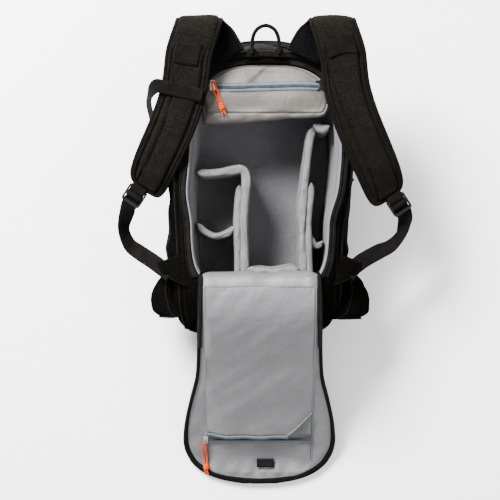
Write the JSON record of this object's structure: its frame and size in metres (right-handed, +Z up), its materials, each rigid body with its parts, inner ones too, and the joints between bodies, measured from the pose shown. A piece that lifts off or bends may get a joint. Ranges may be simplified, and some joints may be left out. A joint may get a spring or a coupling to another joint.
{
  "type": "camera backpack",
  "caption": "Soft backpack for cameras, lying on its front with its zipped back door open over a padded bay with movable dividers",
  "frame": {"origin": "on the floor under the middle of the front compartment, which the bag lies on", "axes": "+Y points to the top of the bag, +X to the right as seen from the open back, +Z up"},
  "size_m": [0.4472, 0.7174, 0.2223],
  "materials": {
    "shell_cloth": "black coated nylon",
    "front_cloth": "charcoal nylon",
    "strap_cloth": "dark ripstop nylon over foam",
    "webbing": "black woven nylon webbing and binding tape",
    "lining_cloth": "light grey lining nylon",
    "divider_cloth": "brushed loop fabric over foam",
    "zip_tape": "blue grey coil zip on woven tape",
    "pull_cord": "orange braided cord",
    "acetal": "black moulded acetal",
    "zinc": "nickel plated zinc"
  },
  "bodies": {
    "root": {"main_shell": "shell_cloth", "lining": "lining_cloth", "front_pocket": "front_cloth", "rim_zip": "webbing", "piping_left": "webbing", "piping_right": "webbing", "yoke_panel": "strap_cloth", "side_pocket_left": "shell_cloth", "side_pocket_right": "shell_cloth", "side_tab_left": "webbing", "side_tab_right": "webbing", "hip_wing_left": "shell_cloth", "hip_wing_right": "shell_cloth", "hip_web_left": "webbing", "hip_web_right": "webbing", "flap_pad": "shell_cloth", "flap_lining": "lining_cloth", "flap_binding": "webbing", "flap_pocket": "lining_cloth", "flap_zip_upper": "zip_tape", "flap_zip_lower": "zip_tape", "flap_label": "webbing", "flap_slider": "zinc", "flap_tab": "zinc", "flap_cord_a": "pull_cord", "flap_cord_b": "pull_cord", "flap_knot": "pull_cord", "lid_pocket": "lining_cloth", "lid_zip": "zip_tape", "lid_slider": "zinc", "lid_tab": "zinc", "lid_cord_a": "pull_cord", "lid_cord_b": "pull_cord", "lid_knot": "pull_cord", "divider_left_bent": "divider_cloth", "divider_left_lower": "divider_cloth", "divider_right_long": "divider_cloth", "divider_right_top": "divider_cloth", "divider_right_lower": "divider_cloth", "divider_centre_low": "divider_cloth", "strap_pad_left": "strap_cloth", "strap_pad_right": "strap_cloth", "strap_binding_left": "webbing", "strap_binding_right": "webbing", "ladder_lock_left": "acetal", "ladder_lock_right": "acetal", "lock_loop_left": "webbing", "lock_loop_right": "webbing", "lower_web_left": "webbing", "lower_web_right": "webbing", "sternum_web_left": "webbing", "sternum_web_right": "webbing", "sternum_buckle": "acetal", "grab_handle": "webbing", "handle_tab_left": "webbing", "handle_tab_right": "webbing"}
  },
  "joints": []
}
